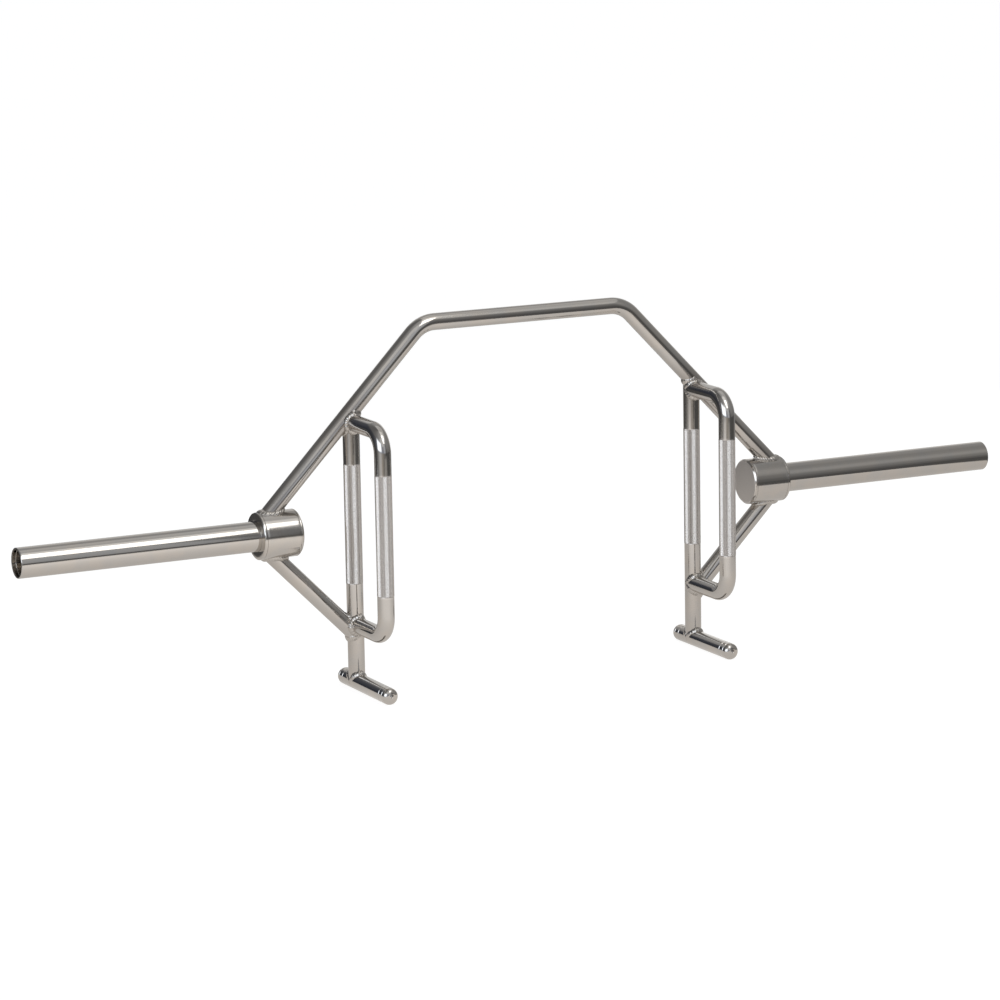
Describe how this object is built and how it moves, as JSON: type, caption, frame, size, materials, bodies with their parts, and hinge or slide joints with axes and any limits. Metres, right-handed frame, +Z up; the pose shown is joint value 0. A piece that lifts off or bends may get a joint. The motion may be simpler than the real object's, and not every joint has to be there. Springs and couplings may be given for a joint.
{
  "type": "open-ended trap bar",
  "caption": "Open-ended trap bar with plate sleeves that turn, low and raised knurled handles, and feet that hold it up for loading.",
  "frame": {"origin": "on the floor under the middle of the outline, with the bar standing on its two feet", "axes": "+X along the sleeves to the right as seen from the side of the raised grips, -Y towards that side, +Z up"},
  "size_m": [1.808, 0.192, 0.6164],
  "materials": {
    "polished_steel": "bright polished",
    "bronze": "turned bearing bronze",
    "spring_steel": "black oiled",
    "thrust_plastic": "plain"
  },
  "bodies": {
    "frame": {"bow_tube": "polished_steel", "left_post": "polished_steel", "left_raised_grip": "polished_steel", "left_brace": "polished_steel", "left_foot_bar": "polished_steel", "left_hub_shell": "polished_steel", "left_hub_inner_plate": "polished_steel", "left_hub_outer_plate": "polished_steel", "left_inner_bush": "bronze", "left_outer_bush": "bronze", "left_thrust_washer": "bronze", "left_thrust_pad": "thrust_plastic", "right_post": "polished_steel", "right_raised_grip": "polished_steel", "right_brace": "polished_steel", "right_foot_bar": "polished_steel", "right_hub_shell": "polished_steel", "right_hub_inner_plate": "polished_steel", "right_hub_outer_plate": "polished_steel", "right_inner_bush": "bronze", "right_outer_bush": "bronze", "right_thrust_washer": "bronze", "right_thrust_pad": "thrust_plastic"},
    "left_sleeve": {"left_sleeve": "polished_steel", "left_retaining_ring": "spring_steel"},
    "right_sleeve": {"right_sleeve": "polished_steel", "right_retaining_ring": "spring_steel"}
  },
  "joints": [
    {"name": "left_sleeve_spin", "type": "hinge", "parent": "frame", "child": "left_sleeve", "pos_m": [-0.492, 0.042, 0.276], "axis": [1, 0, 0], "continuous": true},
    {"name": "right_sleeve_spin", "type": "hinge", "parent": "frame", "child": "right_sleeve", "pos_m": [0.492, 0.042, 0.276], "axis": [1, 0, 0], "continuous": true}
  ]
}
